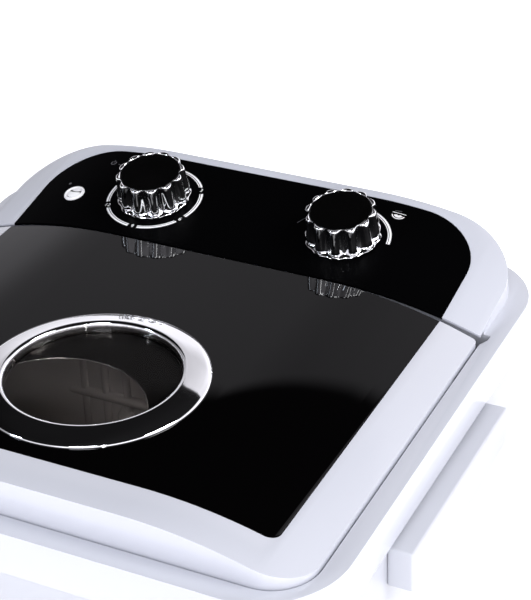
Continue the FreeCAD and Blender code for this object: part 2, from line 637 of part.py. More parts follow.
# Drain grille over the sump and the lint filter clipped to the left wall.
grille_disc = rod("grille_disc", 18, 2.5, ("drain_x", "tub_y", "tub_floor + 0.1"))
sump_spot = FreeCAD.Vector(value("drain_x"), value("tub_y"), 0)
grille_holes = []
for number in range(8):
    hole = freed(rod(f"grille_hole_{number}", 2.4, 10,
                     ("drain_x + 9", "tub_y", "tub_floor - 3")), "x", "y")
    grille_holes.append(turned(hole, 8, number, sump_spot))
grille_middle = rod("grille_middle", 2.4, 10, ("drain_x", "tub_y", "tub_floor - 3"))
node("drain_grille", cut("grille_cut", grille_disc, grille_middle, *grille_holes))

filter_body = box("filter_body", (12, 30, 170),
                  ("-tub_width / 2 + 0.3", "tub_y - 15", "tub_floor + 150"))
filter_hollow = box("filter_hollow", (8, 26, 166),
                    ("-tub_width / 2 + 2.3", "tub_y - 13", "tub_floor + 152"))
filter_slots = [box(f"filter_slot_{number}", (6, 18, 4),
                    ("-tub_width / 2 + 9", "tub_y - 9", f"tub_floor + 162 + {number} * 12"))
                for number in range(12)]
node("lint_filter", cut("filter_cut", filter_body, filter_hollow, *filter_slots))

# Pulsator: shallow dish with four vanes, its screw, and the shaft that carries it.
pulsator_level = "tub_floor + pulsator_gap"
dish = lathe("dish", [
    (0, 0), ("pulsator_radius - 4", 0), ("pulsator_radius", 3),
    ("pulsator_radius", "pulsator_thick - 2"), ("pulsator_radius - 3", "pulsator_thick"),
    (34, "pulsator_thick"), (24, "pulsator_thick + vane_height - 2"),
    (18, "pulsator_thick + vane_height"), (0, "pulsator_thick + vane_height")],
    (0, "tub_y", pulsator_level))
vanes = []
for number in range(4):
    vane = doc.addObject("Part::Wedge", f"vane_{number}")
    for side, rule in (("Xmin", 0), ("Xmax", "pulsator_radius - 26"), ("Ymin", -7), ("Ymax", 7),
                       ("Zmin", 0), ("Zmax", "vane_height - 1"), ("X2min", 0), ("X2max", 40),
                       ("Z2min", 0), ("Z2max", 4)):
        vane.setExpression(side, formula(rule))
    vane.Placement = FreeCAD.Placement(
        FreeCAD.Vector(20, value("tub_y"), value(pulsator_level) + value("pulsator_thick") - 1),
        FreeCAD.Rotation())
    vanes.append(turned(vane, 4, number, FreeCAD.Vector(0, value("tub_y"), 0)))
shaft_socket = rod("shaft_socket", "shaft_radius", 20, (0, "tub_y", f"{pulsator_level} - 2"))
screw_socket = rod("screw_socket", 4, 60, (0, "tub_y", f"{pulsator_level} + 10"))
screw_seat = f"{pulsator_level} + pulsator_thick + vane_height - 6"
head_socket = rod("head_socket", 9.3, 10, (0, "tub_y", screw_seat))
node("pulsator", cut("pulsator_cut", join("pulsator_join", dish, *vanes), shaft_socket,
                     screw_socket, head_socket))
node("pulsator_screw", join("screw_join",
                            rod("screw_head", 9, 5, (0, "tub_y", screw_seat)),
                            rod("screw_shank", 4, 9.5, (0, "tub_y", f"{screw_seat} - 9"))))
shaft_bar = rod("shaft_bar", "shaft_radius", f"{pulsator_level} + 15.5 - pulley_level + 4",
                (0, "tub_y", "pulley_level - 4"))
shaft_tap = rod("shaft_tap", 4, 12, (0, "tub_y", f"{pulsator_level} + 9"))
node("drive_shaft", cut("shaft_cut", shaft_bar, shaft_tap))

# Bearing housing under the tub floor, with two bushes and a seal.
housing = lathe("housing", [
    (10, "housing_bottom"), ("housing_radius", "housing_bottom"), ("housing_radius", 244),
    (42, 244), (42, "tub_floor - tub_wall"), (11.8, "tub_floor - tub_wall"),
    (11.8, "tub_floor - 0.5"), (10, "tub_floor - 0.5")], (0, "tub_y", 0))
node("bearing_housing", housing)
node("shaft_bushes", group("bush_group", *[
    lathe(f"bush_{number}", [("shaft_radius + bush_play", low), (10, low), (10, low + 14),
                             ("shaft_radius + bush_play", low + 14)], (0, "tub_y", 0))
    for number, low in enumerate((206, 228))]))
node("shaft_seal", lathe("seal_turn", [
    ("shaft_radius + bush_play", 245), (10, 245), (10, 253), ("shaft_radius + bush_play", 253)],
    (0, "tub_y", 0)))

# Belt drive: a large wheel on the drive shaft, a small one on the motor and a belt.
tub_pulley_outline = [
    ("shaft_radius", -3), (14, -3), (14, 3), ("pulley_radius - 10", 3),
    ("pulley_radius - 10", 0), ("pulley_radius", 0),
    ("pulley_radius - belt_deep", "pulley_thick / 2 - 2"),
    ("pulley_radius - belt_deep", "pulley_thick / 2 + 2"), ("pulley_radius", "pulley_thick"),
    ("pulley_radius - 10", "pulley_thick"), ("pulley_radius - 10", "pulley_thick - 3"),
    (14, "pulley_thick - 3"), (14, "pulley_thick + 3"), ("shaft_radius", "pulley_thick + 3")]
node("tub_pulley", lathe("tub_pulley_turn", tub_pulley_outline, (0, "tub_y", "pulley_level")))
motor_pulley_outline = [
    (5, 0), ("small_pulley_radius", 0),
    ("small_pulley_radius - belt_deep", "pulley_thick / 2 - 2"),
    ("small_pulley_radius - belt_deep", "pulley_thick / 2 + 2"),
    ("small_pulley_radius", "pulley_thick"), (5, "pulley_thick")]
node("motor_pulley", lathe("motor_pulley_turn", motor_pulley_outline,
                           (0, "motor_y", "pulley_level")))


def belt_loop():
    """Narrow flat loop lying in both pulley grooves."""
    big = value("pulley_radius - belt_deep") + 0.4
    small = value("small_pulley_radius - belt_deep") + 0.4
    start, end = value("tub_y"), value("motor_y")
    lean = (big - small) / (end - start)
    level = value("pulley_level + pulley_thick / 2")
    rise = (1 - lean ** 2) ** 0.5

    def ring(extra):
        points = []
        for middle, radius in ((start, big + extra), (end, small + extra)):
            for side in (1, -1):
                points.append(FreeCAD.Vector(
                    side * radius * rise, middle + radius * lean, level - 1.7))
        back = FreeCAD.Vector(0, start - big - extra, level - 1.7)
        front = FreeCAD.Vector(0, end + small + extra, level - 1.7)
        edges = [Part.LineSegment(points[0], points[2]).toShape(),
                 Part.Arc(points[2], front, points[3]).toShape(),
                 Part.LineSegment(points[3], points[1]).toShape(),
                 Part.Arc(points[1], back, points[0]).toShape()]
        return Part.Face(Part.Wire(edges))

    item = doc.addObject("Part::Feature", "belt_loop")
    item.Shape = ring(3.6).cut(ring(0)).extrude(FreeCAD.Vector(0, 0, 3.4))
    return item


node("drive_belt", belt_loop())

# Motor on its plate, with its shaft, bolts and run capacitor.
motor_can = lathe("motor_can", [
    (6, "motor_bottom"), ("motor_radius - 6", "motor_bottom"),
    ("motor_radius", "motor_bottom + 8"),
    ("motor_radius", "motor_bottom + motor_height - 8"),
    ("motor_radius - 6", "motor_bottom + motor_height"), (6, "motor_bottom + motor_height")],
    (0, "motor_y", 0))
motor_fins = [box(f"motor_fin_{number}", ("2 * motor_radius + 6", 3, "motor_height - 30"),
                  ("-motor_radius - 3", f"motor_y - 21 + {number} * 13", "motor_bottom + 15"))
              for number in range(4)]
fin_hole = rod("fin_hole", "motor_radius - 5", 200, (0, "motor_y", "motor_bottom - 20"))
node("motor", join("motor_join", motor_can,
                   cut("fin_cut", join("fin_join", *motor_fins), fin_hole)))
node("motor_shaft", rod("motor_rod", 5, "motor_bottom + motor_height - pulley_level + 2",
                        (0, "motor_y", "pulley_level - 4")))
plate = box("plate", (180, 112, "plate_thick"), (-90, "motor_y - 50", "plate_level"))
plate_hole = rod("plate_hole", 14, 20, (0, "motor_y", "plate_level - 8"))
bolt_spots = [(side * 74, reach) for side in (-1, 1) for reach in (-30, 40)]
plate_bolt_holes = [rod(f"plate_bolt_hole_{number}", 3.3, 20,
                        (x, f"motor_y + {reach}", "plate_level - 8"))
                    for number, (x, reach) in enumerate(bolt_spots)]
node("motor_plate", cut("plate_cut", plate, plate_hole, *plate_bolt_holes))


def plate_bolt(number, x, reach):
    y = f"motor_y + {reach}"
    return join(f"plate_bolt_{number}",
                rod(f"bolt_head_{number}", 5.5, 4, (x, y, "plate_level + plate_thick")),
                rod(f"bolt_shank_{number}", 3, "plate_thick - 0.1", (x, y, "plate_level + 0.1")))


node("plate_bolts", group("bolt_group", *[
    plate_bolt(number, x, reach) for number, (x, reach) in enumerate(bolt_spots)]))
capacitor_can = rod("capacitor_can", 17, 70, (-160, 40, "tray_bottom + skin"))
capacitor_cap = rod("capacitor_cap", 13, 6, (-160, 40, "tray_bottom + skin + 69"))
node("capacitor", join("capacitor_join", capacitor_can, capacitor_cap))
terminal_body = box("terminal_body", (70, 50, 40), (-185, -60, "tray_bottom + skin"))
terminal_lid = box("terminal_lid", (74, 54, 4), (-187, -62, "tray_bottom + skin + 39"))
node("terminal_box", join("terminal_join", terminal_body, terminal_lid))

# Drain: valve under the sump, its lifting plug, the pipe and the hose spout at the back.
valve_shell = lathe("valve_shell", [
    (12.5, "valve_bottom"), ("valve_radius", "valve_bottom"),
    ("valve_radius", "tub_floor - tub_wall - 6"), (26, "tub_floor - tub_wall - 6"),
    (26, "tub_floor - tub_wall"), (12.5, "tub_floor - tub_wall")], ("drain_x", "tub_y", 0))
node("drain_valve", valve_shell)
node("valve_plug", lathe("plug_turn", [
    (0, "valve_bottom + 0.4"), (11.8, "valve_bottom + 0.4"), (11.8, "valve_bottom + 10"),
    (5, "valve_bottom + 16"), (2.5, "valve_bottom + 28"), (0, "valve_bottom + 28")],
    ("drain_x", "tub_y", 0)))
drop_outer = rod("drop_outer", "pipe_radius + pipe_wall", "valve_bottom - pipe_level",
                 ("drain_x", "tub_y", "pipe_level"))
run_outer = rod("run_outer", "pipe_radius", "tray_depth / 2 - skin - 2 - tub_y",
                ("drain_x", "tub_y", "pipe_level"), "y")
elbow = doc.addObject("Part::Sphere", "elbow")
elbow.setExpression("Radius", formula("pipe_radius + pipe_wall"))
place(elbow, "drain_x", "tub_y", "pipe_level")
drop_bore = rod("drop_bore", "pipe_radius - pipe_wall", "valve_bottom - pipe_level + 5",
                ("drain_x", "tub_y", "pipe_level"))
run_bore = rod("run_bore", "pipe_radius - pipe_wall", "tray_depth / 2 - tub_y + 10",
               ("drain_x", "tub_y", "pipe_level"), "y")
node("drain_pipe", cut("pipe_cut", join("pipe_join", drop_outer, run_outer, elbow), drop_bore,
                       run_bore))


def through_wall(name, x, bore, flange, reach):
    """Sleeve through the back wall of the tray with a flange outside."""
    sleeve = rod(f"{name}_sleeve", f"({bore}) + 2", f"skin + 1.8 + {reach}",
                 (x, "tray_depth / 2 - skin - 1.8", "pipe_level"), "y")
    collar_ring = rod(f"{name}_collar", flange, 2, (x, "tray_depth / 2", "pipe_level"), "y")
    hole = rod(f"{name}_bore", bore, 60, (x, "tray_depth / 2 - 30", "pipe_level"), "y")
    node(name, cut(f"{name}_cut", join(f"{name}_join", sleeve, collar_ring), hole))


through_wall("drain_spout", "drain_x", "pipe_radius - pipe_wall", 17, 15.5)
through_wall("cable_gland", "gland_x", "gland_bore", 10, 9)

doc.recompute()
os.makedirs("parts", exist_ok=True)
faulty = [item.Name for item in doc.Objects
          if any(word in item.State for word in ("Invalid", "Error"))]
if faulty:
    raise RuntimeError(f"could not be built: {faulty}")
for name, item in nodes.items():
    shape = item.Shape
    if shape.isNull() or not shape.isValid() or not shape.Solids:
        raise RuntimeError(f"{name} has no sound solid")
    shape.exportStep(f"parts/{name}.step")
    print(name, len(shape.Solids), "solids", round(shape.Volume / 1000, 1), "cm3")
print(len(nodes), "nodes")
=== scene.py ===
# %% [markdown]
# # A small washing machine, dressed for its picture
# The engineering model comes in as a fixed frame: every node is already in metres and in its
# place.  This lesson adds the finishes and re-models the pieces whose surfaces matter most:
# the knobs, the chrome ring, the window's screen, the printed dials, the water inlet and the
# soft white mouldings.

# %% Load the frame
import bpy
import json
import math
from mathutils import Matrix, Vector


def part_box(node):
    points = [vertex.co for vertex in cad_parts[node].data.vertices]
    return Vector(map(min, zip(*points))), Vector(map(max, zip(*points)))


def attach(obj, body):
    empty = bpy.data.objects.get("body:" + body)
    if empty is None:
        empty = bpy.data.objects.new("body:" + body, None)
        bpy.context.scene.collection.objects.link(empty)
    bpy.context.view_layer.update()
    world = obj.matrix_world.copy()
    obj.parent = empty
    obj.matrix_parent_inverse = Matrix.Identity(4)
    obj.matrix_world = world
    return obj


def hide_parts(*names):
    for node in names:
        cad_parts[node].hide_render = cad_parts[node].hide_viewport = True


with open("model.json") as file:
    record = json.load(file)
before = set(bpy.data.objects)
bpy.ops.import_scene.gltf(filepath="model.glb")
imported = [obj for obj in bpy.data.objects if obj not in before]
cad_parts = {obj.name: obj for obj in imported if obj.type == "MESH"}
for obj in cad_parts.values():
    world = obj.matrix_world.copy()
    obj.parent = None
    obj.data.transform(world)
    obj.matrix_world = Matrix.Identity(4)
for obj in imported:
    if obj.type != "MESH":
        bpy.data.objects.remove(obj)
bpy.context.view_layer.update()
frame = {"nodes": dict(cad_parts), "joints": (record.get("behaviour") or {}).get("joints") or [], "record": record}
nodes = frame["nodes"]
joints = {joint["name"]: joint for joint in frame["joints"]}
MM = 0.001

# %% [markdown]
# The control panel slopes, so it is easiest to model its knobs and print flat, on a workbench
# at the origin, and carry them over at the end.  The timer's joint already says where the
# knob's axis meets the panel and which way the panel faces, so the slope comes from there.

# %% The sloping panel's own axes
def panel_axes(joint_name):
    """Matrix that takes a flat workbench to the panel, with its origin at that knob."""
    normal = Vector(joints[joint_name]["axis"]).normalized()
    across = Vector((1, 0, 0))
    up_slope = normal.cross(across)
    turn = Matrix((across, up_slope, normal)).transposed().to_4x4()
    return Matrix.Translation(joints[joint_name]["pos_m"]) @ turn


TIMER = panel_axes("timer_turn")
MODE = panel_axes("mode_turn")
print("panel tilt", round(math.degrees(math.acos(joints["timer_turn"]["axis"][2])), 2))

# %% [markdown]
# Two habits keep operators safe.  Everything is deselected before a primitive is added, because
# an operator works on all that is selected.  And a finished piece carries its place in its mesh,
# so its object stays at the origin, unturned.

# %% Small workshop helpers
def start_clean():
    if bpy.context.object and bpy.context.object.mode != "OBJECT":
        bpy.ops.object.mode_set(mode="OBJECT")
    bpy.ops.object.select_all(action="DESELECT")


def only(piece):
    start_clean()
    piece.select_set(True)
    bpy.context.view_layer.objects.active = piece
    return piece


def settle(piece, matrix=None):
    """Bake a piece's place into its mesh."""
    only(piece)
    if matrix is not None:
        piece.matrix_world = matrix @ piece.matrix_world
    bpy.ops.object.transform_apply(location=True, rotation=True, scale=True)
    return piece


def modify(piece, kind, **settings):
    only(piece)
    modifier = piece.modifiers.new(kind.title(), kind)
    for name, setting in settings.items():
        setattr(modifier, name, setting)
    bpy.ops.object.modifier_apply(modifier=modifier.name)
    return piece


def smooth(piece, degrees=35):
    only(piece)
    bpy.ops.object.shade_smooth_by_angle(angle=math.radians(degrees))
    return piece


def outward(piece):
    """Close the seams of a turned shape and point its faces outwards."""
    only(piece)
    bpy.ops.object.mode_set(mode="EDIT")
    bpy.ops.mesh.select_all(action="SELECT")
    bpy.ops.mesh.remove_doubles(threshold=0.00002)
    bpy.ops.mesh.normals_make_consistent(inside=False)
    bpy.ops.object.mode_set(mode="OBJECT")
    return piece


# %% [markdown]
# ## Finishes
# Moulded plastic is never one flat value.  Its gloss wanders a little from place to place and
# the skin has a faint ripple.  Every finish shares one node group for that, so the group is
# built once and each material feeds it its own scale and strength.

# %% The shared moulded-skin group
def build_skin_group():
    group = bpy.data.node_groups.new("moulded_skin", "ShaderNodeTree")
    for name, kind, default in (("Colour", "NodeSocketColor", (0.8, 0.8, 0.8, 1)),
                                ("Shade", "NodeSocketColor", (0.7, 0.7, 0.7, 1)),
                                ("Patch size", "NodeSocketFloat", 12.0),
                                ("Patch amount", "NodeSocketFloat", 0.2),
                                ("Roughness low", "NodeSocketFloat", 0.2),
                                ("Roughness high", "NodeSocketFloat", 0.3),
                                ("Ripple size", "NodeSocketFloat", 400.0),
                                ("Ripple height", "NodeSocketFloat", 0.1)):
        socket = group.interface.new_socket(name, in_out="INPUT", socket_type=kind)
        socket.default_value = default
    for name, kind in (("Colour", "NodeSocketColor"), ("Roughness", "NodeSocketFloat"),
                       ("Normal", "NodeSocketVector")):
        group.interface.new_socket(name, in_out="OUTPUT", socket_type=kind)
    tree = group.nodes
    source = tree.new("NodeGroupInput")
    sink = tree.new("NodeGroupOutput")
    place = tree.new("ShaderNodeTexCoord")
    patches = tree.new("ShaderNodeTexNoise")
    patches.inputs["Detail"].default_value = 4
    ripple = tree.new("ShaderNodeTexNoise")
    ripple.inputs["Detail"].default_value = 2
    amount = tree.new("ShaderNodeMath")
    amount.operation = "MULTIPLY"
    tint = tree.new("ShaderNodeMix")
    tint.data_type = "RGBA"
    gloss = tree.new("ShaderNodeMapRange")
    bump = tree.new("ShaderNodeBump")
    bump.inputs["Distance"].default_value = 0.0002
    for start, end in (
            (place.outputs["Object"], patches.inputs["Vector"]),
            (place.outputs["Object"], ripple.inputs["Vector"]),
            (source.outputs["Patch size"], patches.inputs["Scale"]),
            (source.outputs["Ripple size"], ripple.inputs["Scale"]),
            (patches.outputs["Fac"], amount.inputs[0]),
            (source.outputs["Patch amount"], amount.inputs[1]),
            (amount.outputs[0], tint.inputs["Factor"]),
            (source.outputs["Colour"], tint.inputs["A"]),
            (source.outputs["Shade"], tint.inputs["B"]),
            (patches.outputs["Fac"], gloss.inputs["Value"]),
            (source.outputs["Roughness low"], gloss.inputs["To Min"]),
            (source.outputs["Roughness high"], gloss.inputs["To Max"]),
            (ripple.outputs["Fac"], bump.inputs["Height"]),
            (source.outputs["Ripple height"], bump.inputs["Strength"]),
            (tint.outputs["Result"], sink.inputs["Colour"]),
            (gloss.outputs["Result"], sink.inputs["Roughness"]),
            (bump.outputs["Normal"], sink.inputs["Normal"])):
        group.links.new(start, end)
    return group


SKIN = build_skin_group()


def finish_of(name, colour, shade, rough, patch=(12, 0.3), ripple=(400, 0.1), **sockets):
    """A material: the moulded-skin group feeding one Principled shader."""
    material = bpy.data.materials.new(name)
    material.use_nodes = True
    tree = material.node_tree
    shader = tree.nodes["Principled BSDF"]
    skin = tree.nodes.new("ShaderNodeGroup")
    skin.node_tree = SKIN
    skin.inputs["Colour"].default_value = (*colour, 1)
    skin.inputs["Shade"].default_value = (*shade, 1)
    skin.inputs["Patch size"].default_value, skin.inputs["Patch amount"].default_value = patch
    skin.inputs["Roughness low"].default_value = rough[0]
    skin.inputs["Roughness high"].default_value = rough[1]
    skin.inputs["Ripple size"].default_value, skin.inputs["Ripple height"].default_value = ripple
    for socket in ("Roughness", "Normal"):
        tree.links.new(skin.outputs[socket], shader.inputs[socket])
    tree.links.new(skin.outputs["Colour"], shader.inputs["Base Color"])
    for socket, number in sockets.items():
        shader.inputs[socket.replace("_", " ")].default_value = number
    return material


# %% The finishes of this machine
FINISH = {
    "white_gloss": finish_of("white_gloss", (0.57, 0.585, 0.645), (0.54, 0.555, 0.62), (0.16, 0.24),
                             (8, 0.5), (260, 0.04), Coat_Weight=0.3, Coat_Roughness=0.1),
    "white_shell": finish_of("white_shell", (0.50, 0.513, 0.56), (0.47, 0.483, 0.53), (0.28, 0.38),
                             (8, 0.5), (900, 0.12)),
    "grey_base": finish_of("grey_base", (0.20, 0.21, 0.23), (0.15, 0.16, 0.18), (0.42, 0.55),
                           (18, 0.6), (1200, 0.25)),
    "foot_rubber": finish_of("foot_rubber", (0.02, 0.02, 0.021), (0.035, 0.035, 0.035),
                             (0.65, 0.85), (60, 0.6), (1600, 0.4)),
    "zinc_steel": finish_of("zinc_steel", (0.55, 0.56, 0.55), (0.42, 0.43, 0.40), (0.25, 0.42),
                            (70, 0.7), (1500, 0.2), Metallic=1.0),
    "black_panel": finish_of("black_panel", (0.0008, 0.0008, 0.001), (0.0014, 0.0014, 0.0016),
                             (0.28, 0.36), (10, 0.5), (1400, 0.05), IOR=1.04),
    "black_lid": finish_of("black_lid", (0.0008, 0.0007, 0.0008), (0.0012, 0.0011, 0.0012),
                           (0.015, 0.03), (6, 0.5), (40, 0.01), IOR=1.23),
    "chrome": finish_of("chrome", (0.92, 0.925, 0.94), (0.84, 0.85, 0.87), (0.03, 0.07),
                        (30, 0.5), (300, 0.03), Metallic=1.0),
    "black_cap": finish_of("black_cap", (0.0008, 0.0008, 0.0008), (0.0016, 0.0016, 0.0016),
                           (0.12, 0.20), (30, 0.5), (900, 0.08), IOR=1.3),
    "natural_nylon": finish_of("natural_nylon", (0.62, 0.60, 0.52), (0.55, 0.52, 0.44),
                               (0.40, 0.55), (20, 0.6), (900, 0.2)),
    "tub_plastic": finish_of("tub_plastic", (0.42, 0.40, 0.40), (0.34, 0.32, 0.32),
                             (0.10, 0.18), (9, 0.6), (700, 0.05)),
    "pulsator_plastic": finish_of("pulsator_plastic", (0.50, 0.51, 0.55), (0.42, 0.43, 0.48),
                                  (0.22, 0.34), (14, 0.5), (500, 0.1)),
    "cast_metal": finish_of("cast_metal", (0.45, 0.45, 0.47), (0.33, 0.33, 0.35), (0.45, 0.65),
                            (40, 0.7), (500, 0.6), Metallic=0.9),
    "bronze": finish_of("bronze", (0.50, 0.33, 0.15), (0.38, 0.24, 0.10), (0.35, 0.5),
                        (60, 0.7), (900, 0.3), Metallic=1.0),
    "motor_paint": finish_of("motor_paint", (0.03, 0.03, 0.033), (0.02, 0.02, 0.022),
                             (0.35, 0.5), (30, 0.6), (700, 0.4)),
    "smoked_window": finish_of("smoked_window", (0.62, 0.59, 0.56), (0.58, 0.55, 0.52),
                               (0.0, 0.02), (8, 0.5), (30, 0.01), Transmission_Weight=1.0,
                               IOR=1.08),
    "black_screen": finish_of("black_screen", (0.0012, 0.0012, 0.0014), (0.002, 0.002, 0.002),
                              (0.35, 0.45), (10, 0.5), (900, 0.08), IOR=1.12),
    "bright_white": finish_of("bright_white", (0.88, 0.88, 0.90), (0.76, 0.76, 0.78),
                             (0.45, 0.55), (400, 0.5), (2500, 0.1)),
    "grey_print": finish_of("grey_print", (0.10, 0.10, 0.11), (0.06, 0.06, 0.07),
                            (0.45, 0.55), (400, 0.5), (2500, 0.1)),
}


def let_light_in(material, share):
    """Let part of the lamps' light pass a pane, so that what lies behind it isn't black."""
    tree = material.node_tree
    ray = tree.nodes.new("ShaderNodeLightPath")
    fade = tree.nodes.new("ShaderNodeMath")
    fade.operation = "MULTIPLY_ADD"
    fade.inputs[1].default_value = -share
    fade.inputs[2].default_value = 1.0
    tree.links.new(ray.outputs["Is Shadow Ray"], fade.inputs[0])
    tree.links.new(fade.outputs[0], tree.nodes["Principled BSDF"].inputs["Alpha"])


let_light_in(FINISH["smoked_window"], 0.85)
SLOT_OF = {part["node"]: part["material_slot"] for part in frame["record"]["subparts"]}
for name, piece in nodes.items():
    piece.data.materials.clear()
    piece.data.materials.append(FINISH[SLOT_OF[name]])
print(len(FINISH), "finishes on", len(nodes), "nodes")


def dress(piece, slot, body, *replaced, finish=None):
    """Name the finish, the body and the nodes a new piece stands for."""
    piece.data.materials.clear()
    piece.data.materials.append(FINISH[finish or slot])
    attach(piece, body)
    if replaced:
        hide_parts(*replaced)
    return piece


# %% [markdown]
# ## Turned pieces
# A ring or a disc is a section swept round an axis.  Starting from a circle and extruding its
# edge from one corner of the section to the next is the same move a potter makes, and it
# leaves clean loops of faces.

# %% Turning by extrusion
def turned(name, section, steps=160):
    """Closed ring of the given (radius, height) corners, round the workbench origin."""
    start_clean()
    first_radius, first_height = section[0]
    bpy.ops.mesh.primitive_circle_add(vertices=steps, radius=first_radius,
                                      location=(0, 0, first_height))
    piece = bpy.context.object
    piece.name = name
    bpy.ops.object.mode_set(mode="EDIT")
    bpy.ops.mesh.select_all(action="SELECT")
    radius, height = first_radius, first_height
    for next_radius, next_height in section[1:] + section[:1]:
        bpy.ops.mesh.extrude_edges_move()
        ratio = next_radius / radius
        bpy.ops.transform.resize(value=(ratio, ratio, 1), center_override=(0, 0, 0))
        bpy.ops.transform.translate(value=(0, 0, next_height - height))
        radius, height = next_radius, next_height
    bpy.ops.object.mode_set(mode="OBJECT")
    settle(piece)
    return outward(piece)


# %% [markdown]
# The chrome ring is a low dome: steep at its outer edge, nearly level towards the window, and
# rolled over at the inner lip.  The gentle slope is what lets its back mirror the knobs.

# %% Chrome ring
RING_RISE = 7.5 * MM
ring_low, ring_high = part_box("window_ring")
ring_middle = (ring_low + ring_high) / 2
LID_SPOT = Matrix.Translation((0, ring_middle.y, ring_high.z - RING_RISE))
ring_section = [(r * MM, z * MM) for r, z in (
    (58, -4), (60.7, -4), (60.7, -0.1), (76.9, -0.1), (76.9, 0.6), (76.5, 1.3), (75.4, 2.0),
    (72.5, 3.0), (68.5, 4.1), (64.5, 5.0), (61.6, 5.6), (60.5, 5.7), (59.6, 5.5), (58.7, 4.9),
    (58.2, 3.9), (58, 2))]
ring = turned("chrome_ring", ring_section, 192)
smooth(settle(ring, LID_SPOT), 30)
dress(ring, "chrome", "lid", "window_ring")
print("ring has", len(ring.data.polygons), "faces")

# %% [markdown]
# Under the glass a black screen hides the back half of the view.  Its edge is an arc with a fine
# bright bead, and only the lens in front of that arc shows the inside of the tub.

# %% Black screen behind the window
SCREEN_RADIUS = 57.6 * MM
SCREEN_THICK = 1.2 * MM
SCREEN_TOP = -2.6 * MM
ARC_RADIUS = 64.5 * MM
ARC_CENTRE = Vector((-9, -44, 0)) * MM
BEAD_RADIUS = 0.45 * MM
start_clean()
bpy.ops.mesh.primitive_cylinder_add(vertices=160, radius=SCREEN_RADIUS, depth=SCREEN_THICK,
                                    location=(0, 0, SCREEN_TOP - SCREEN_THICK / 2))
screen = bpy.context.object
screen.name = "window_screen"
start_clean()
bpy.ops.mesh.primitive_cylinder_add(vertices=256, radius=ARC_RADIUS, depth=10 * MM,
                                    location=ARC_CENTRE)
cutter = bpy.context.object
modify(screen, "BOOLEAN", operation="DIFFERENCE", solver="EXACT", object=cutter)
bpy.data.objects.remove(cutter)
settle(screen, LID_SPOT)
dress(screen, "black_panel", "lid", finish="black_screen")

# %% Bright bead along the screen's arc
bead_section = []
for step in range(8):
    turn = math.radians(45 * step)
    bead_section.append((ARC_RADIUS - 0.1 * MM + BEAD_RADIUS * math.cos(turn),
                         SCREEN_TOP - 0.5 * MM + BEAD_RADIUS * math.sin(turn)))
bead = turned("screen_bead", bead_section, 256)
bpy.ops.object.mode_set(mode="EDIT")
bpy.ops.mesh.select_all(action="DESELECT")
bpy.ops.object.mode_set(mode="OBJECT")
for corner in bead.data.vertices:
    corner.select = (corner.co + ARC_CENTRE).xy.length > SCREEN_RADIUS + 0.1 * MM
bpy.ops.object.mode_set(mode="EDIT")
bpy.ops.mesh.delete(type="VERT")
bpy.ops.mesh.select_all(action="SELECT")
bpy.ops.mesh.region_to_loop()
bpy.ops.mesh.edge_face_add()
bpy.ops.object.mode_set(mode="OBJECT")
smooth(settle(bead, LID_SPOT @ Matrix.Translation(ARC_CENTRE)), 60)
dress(bead, "chrome", "lid")
print("screen", len(screen.data.polygons), "faces, bead", len(bead.data.polygons))

# %% [markdown]
# ## Knobs
# Each knob is a turned sleeve whose wall is then gathered into twelve lobes.  Every upright line
# of vertices belongs to one phase of a lobe.  A phase near a groove is drawn towards the axis,
# and the depth of the groove changes with height: shallow at the rolled top, deep in the grip,
# and nearly gone at the foot, where the lobes end in rounded toes over a scalloped rim.

# %% Lobed sleeves
LOBES = 12
PHASES = 16
GROOVE_SHAPE = 1.4
TWIN_TURN = 11
# Wall of the knob from foot to rim, in mm: radius, height, depth of the grooves.
KNOB_WALL = (
    (27.4, 0.6, 1.0), (27.8, 0.8, 1.3), (27.8, 1.1, 1.5), (27.4, 1.4, 1.9), (25.9, 1.7, 2.0),
    (25.7, 2.3, 2.4), (26.8, 3.1, 3.3), (27.3, 4.5, 4.1), (27.2, 6.2, 4.5), (26.8, 9.5, 4.6),
    (26.3, 13.5, 4.4), (26.0, 17.5, 4.0), (25.8, 20.5, 3.5), (25.6, 22.4, 3.1),
    (25.3, 23.3, 2.8), (24.8, 23.75, 2.4), (24.1, 23.8, 1.8), (23.4, 23.55, 1.1),
    (22.7, 23.2, 0.3))
KNOB_CORE = ((22.4, 22.6), (22.3, 20.9), (3.2, 20.9), (3.2, 0.6))


def gather(piece, wall):
    """Draw the wall of a turned sleeve into lobes."""
    steps = LOBES * PHASES
    for radius, height, depth in wall:
        ring = [corner for corner in piece.data.vertices
                if abs(corner.co.z - height * MM) < 0.01 * MM
                and abs(corner.co.xy.length - radius * MM) < 0.01 * MM]
        phase_of = {corner.index: round(math.atan2(corner.co.y, corner.co.x)
                                        / math.tau * steps) % PHASES for corner in ring}
        for phase in range(1, PHASES // 2 + 1):
            swing = (1 - math.cos(math.tau * phase / PHASES)) / 2
            ratio = 1 - depth * swing ** GROOVE_SHAPE / radius
            bpy.ops.object.mode_set(mode="EDIT")
            bpy.ops.mesh.select_all(action="DESELECT")
            bpy.ops.object.mode_set(mode="OBJECT")
            for index, own in phase_of.items():
                piece.data.vertices[index].select = own in (phase, PHASES - phase)
            bpy.ops.object.mode_set(mode="EDIT")
            bpy.ops.transform.resize(value=(ratio, ratio, 1), center_override=(0, 0, 0))
            bpy.ops.object.mode_set(mode="OBJECT")


def knob_sleeve(name):
    """Chrome sleeve of a knob, from its lobed wall to the recess that holds the disc."""
    section = [(radius * MM, height * MM) for radius, height, _ in KNOB_WALL]
    section += [(radius * MM, height * MM) for radius, height in KNOB_CORE]
    piece = turned(name, section, LOBES * PHASES)
    gather(piece, KNOB_WALL)
    return smooth(outward(piece), 50)


